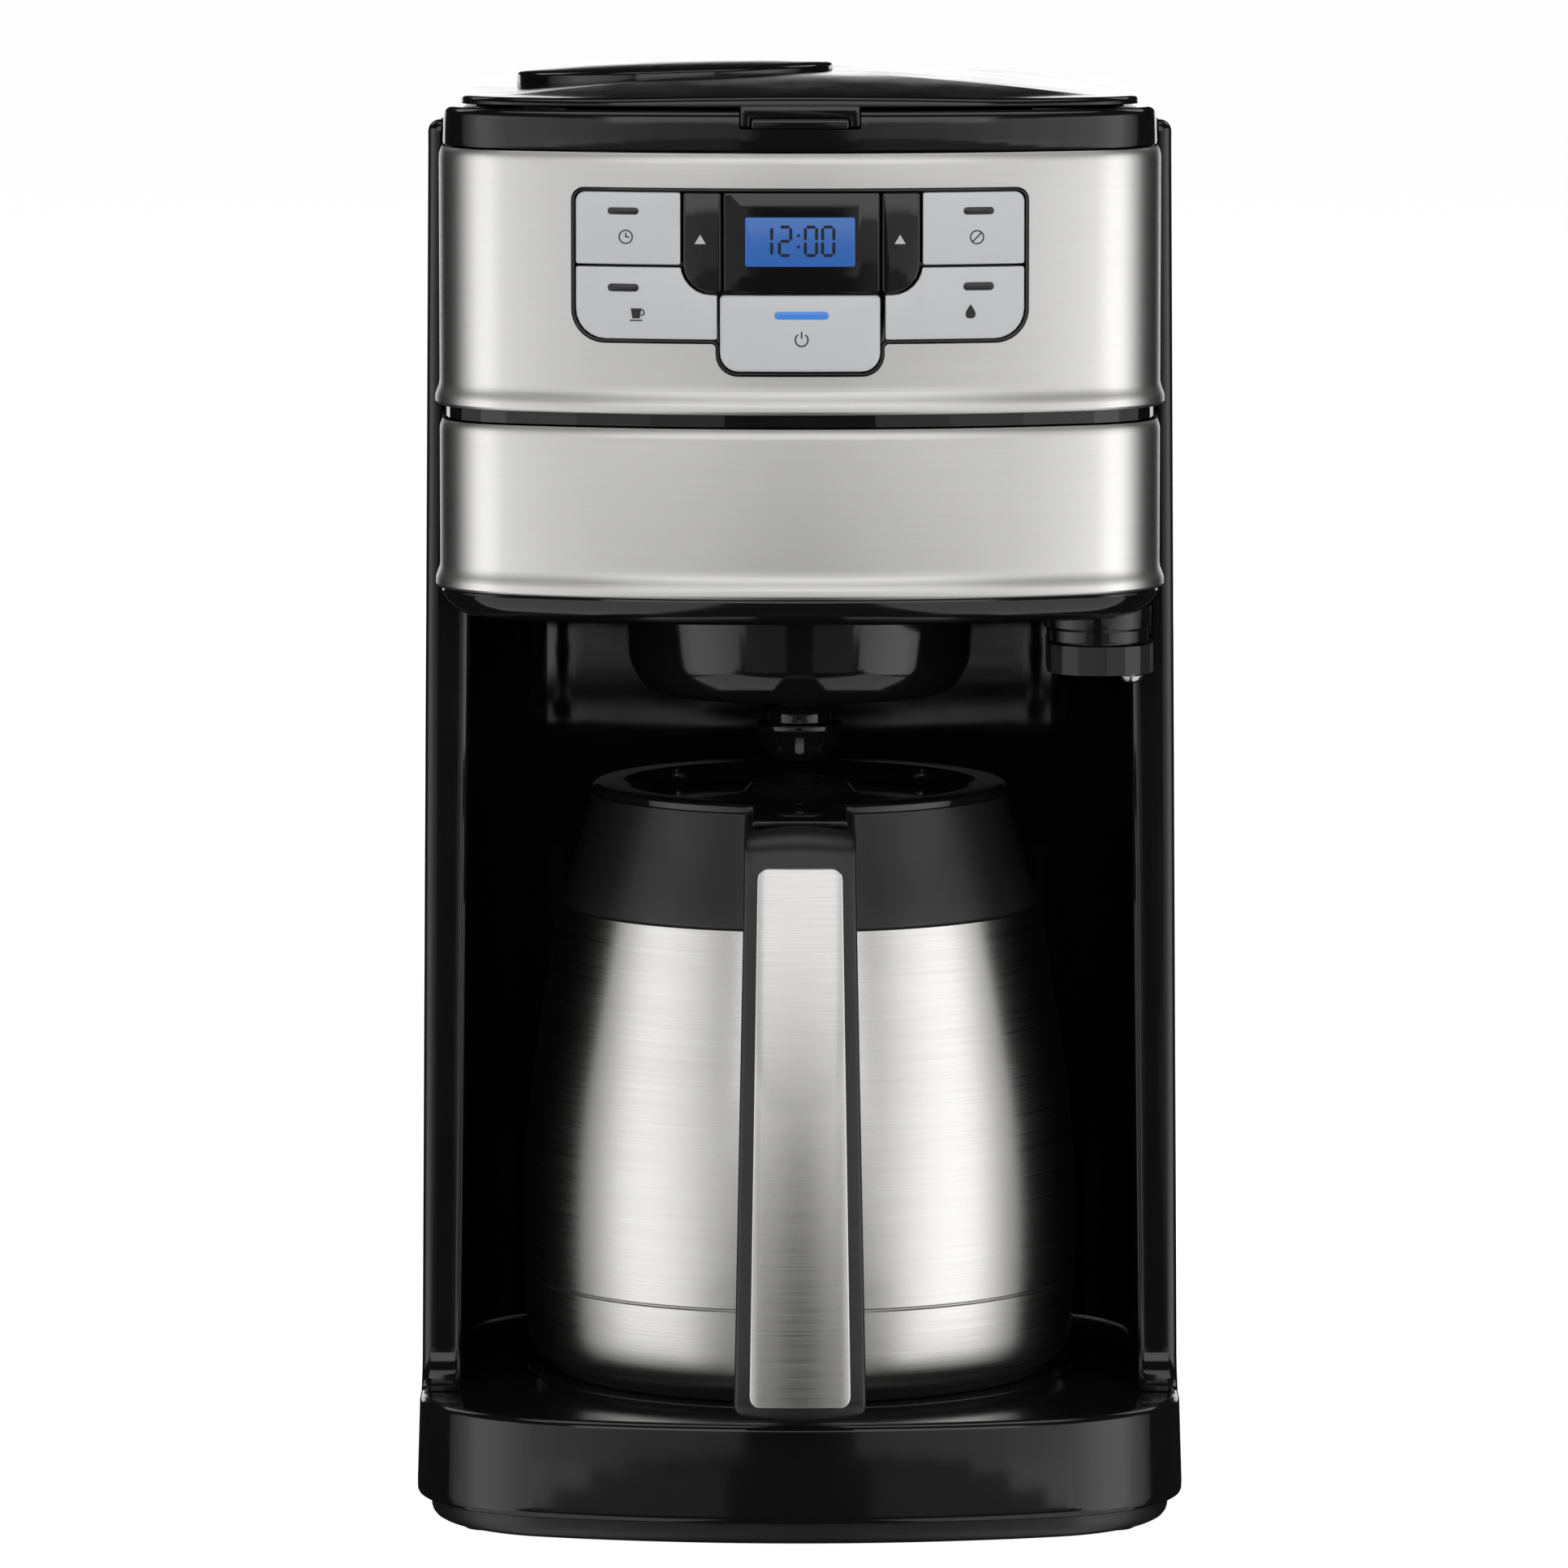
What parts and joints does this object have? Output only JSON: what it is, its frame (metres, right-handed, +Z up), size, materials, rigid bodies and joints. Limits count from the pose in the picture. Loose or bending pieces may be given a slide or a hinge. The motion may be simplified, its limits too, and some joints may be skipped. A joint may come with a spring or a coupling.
{
  "type": "drip coffee maker",
  "caption": "Grind-and-brew drip coffee maker with a lift-up lid, push-button clock panel, swing-out filter door and a thermal carafe that slides out.",
  "frame": {"origin": "on the table, at the middle of the object's box in plan", "axes": "+X to the right seen from the front, +Y to the back, +Z up; the front faces -Y"},
  "size_m": [0.21, 0.2725, 0.3989],
  "materials": {
    "black_gloss": "moulded gloss black",
    "black_satin": "satin black",
    "stainless": "brushed sideways",
    "silver_paint": "satin silver paint",
    "lcd_screen": "backlit blue display",
    "cast_alloy": "as cast",
    "foot_rubber": "matte",
    "silicone": "translucent silicone",
    "tank_plastic": "smooth",
    "circuit_board": "green laminate"
  },
  "bodies": {
    "machine": {"base_housing": "black_gloss", "base_cover": "black_satin", "foot_1": "foot_rubber", "foot_2": "foot_rubber", "foot_3": "foot_rubber", "foot_4": "foot_rubber", "carafe_plate": "black_satin", "heater": "cast_alloy", "cord_outlet": "black_satin", "rear_housing": "black_gloss", "hinge_bracket": "black_satin", "hinge_screw": "stainless", "hinge_pin": "stainless", "water_tank": "tank_plastic", "cold_water_tube": "silicone", "hot_water_tube": "silicone", "head_housing": "black_gloss", "upper_band": "stainless", "top_ring": "black_gloss", "inner_deck": "black_satin", "shower_head": "black_satin", "control_bezel": "black_gloss", "display_frame": "black_gloss", "display_lcd": "lcd_screen", "control_board": "circuit_board", "lid_hinge_pin": "stainless", "grinder_motor": "cast_alloy", "grinder_bowl": "stainless", "grinder_cap": "black_satin"},
    "lid": {"lid": "black_gloss"},
    "latch": {"lid_latch": "black_gloss"},
    "grinder_rotor": {"grinder_shaft": "stainless", "grinder_blade": "stainless"},
    "door": {"door_band": "stainless", "door_body": "black_gloss", "filter_holder": "black_gloss", "filter_basket": "black_satin", "valve_cage": "black_satin"},
    "valve": {"valve_plunger": "silicone"},
    "carafe": {"carafe_shell": "stainless", "carafe_liner": "stainless", "carafe_bottom": "black_satin", "carafe_collar": "black_satin", "carafe_handle": "black_satin", "handle_inlay": "stainless", "thumb_pad": "black_satin"},
    "carafe_lid": {"carafe_lid": "black_gloss", "lid_seal": "silicone"},
    "button_program": {"button_program": "silver_paint"},
    "button_small_batch": {"button_small_batch": "silver_paint"},
    "button_hour": {"button_hour": "black_gloss"},
    "button_minute": {"button_minute": "black_gloss"},
    "button_grind_off": {"button_grind_off": "silver_paint"},
    "button_clean": {"button_clean": "silver_paint"},
    "button_brew": {"button_brew": "silver_paint"}
  },
  "joints": [
    {"name": "lid_hinge", "type": "hinge", "parent": "machine", "child": "lid", "pos_m": [0, 0.1, 0.3866], "axis": [-1, 0, 0], "range_deg": [0, 85]},
    {"name": "latch_press", "type": "slide", "parent": "machine", "child": "latch", "axis": [0, 1, 0], "range_m": [0, 0.0018], "stiffness_N_per_m": 800, "springref_m": -0.0005},
    {"name": "grinder_spin", "type": "hinge", "parent": "machine", "child": "grinder_rotor", "pos_m": [-0.038, 0.004, 0.35], "axis": [0, 0, 1], "continuous": true},
    {"name": "door_hinge", "type": "hinge", "parent": "machine", "child": "door", "pos_m": [0.081, -0.06, 0.25], "axis": [0, 0, 1], "range_deg": [0, 75]},
    {"name": "valve_lift", "type": "slide", "parent": "door", "child": "valve", "axis": [0, 0, 1], "range_m": [0, 0.002], "stiffness_N_per_m": 200, "springref_m": -0.001},
    {"name": "carafe_slide", "type": "slide", "parent": "machine", "child": "carafe", "axis": [0, -1, 0], "range_m": [0, 0.26]},
    {"name": "carafe_lid_twist", "type": "hinge", "parent": "carafe", "child": "carafe_lid", "pos_m": [0, -0.008, 0.19], "axis": [0, 0, 1], "range_deg": [0, 90]},
    {"name": "button_program_press", "type": "slide", "parent": "machine", "child": "button_program", "axis": [0, 1, 0], "range_m": [0, 0.001], "stiffness_N_per_m": 1000, "springref_m": -0.0003},
    {"name": "button_small_batch_press", "type": "slide", "parent": "machine", "child": "button_small_batch", "axis": [0, 1, 0], "range_m": [0, 0.001], "stiffness_N_per_m": 1000, "springref_m": -0.0003},
    {"name": "button_hour_press", "type": "slide", "parent": "machine", "child": "button_hour", "axis": [0, 1, 0], "range_m": [0, 0.001], "stiffness_N_per_m": 1000, "springref_m": -0.0003},
    {"name": "button_minute_press", "type": "slide", "parent": "machine", "child": "button_minute", "axis": [0, 1, 0], "range_m": [0, 0.001], "stiffness_N_per_m": 1000, "springref_m": -0.0003},
    {"name": "button_grind_off_press", "type": "slide", "parent": "machine", "child": "button_grind_off", "axis": [0, 1, 0], "range_m": [0, 0.001], "stiffness_N_per_m": 1000, "springref_m": -0.0003},
    {"name": "button_clean_press", "type": "slide", "parent": "machine", "child": "button_clean", "axis": [0, 1, 0], "range_m": [0, 0.001], "stiffness_N_per_m": 1000, "springref_m": -0.0003},
    {"name": "button_brew_press", "type": "slide", "parent": "machine", "child": "button_brew", "axis": [0, 1, 0], "range_m": [0, 0.001], "stiffness_N_per_m": 1000, "springref_m": -0.0003}
  ]
}
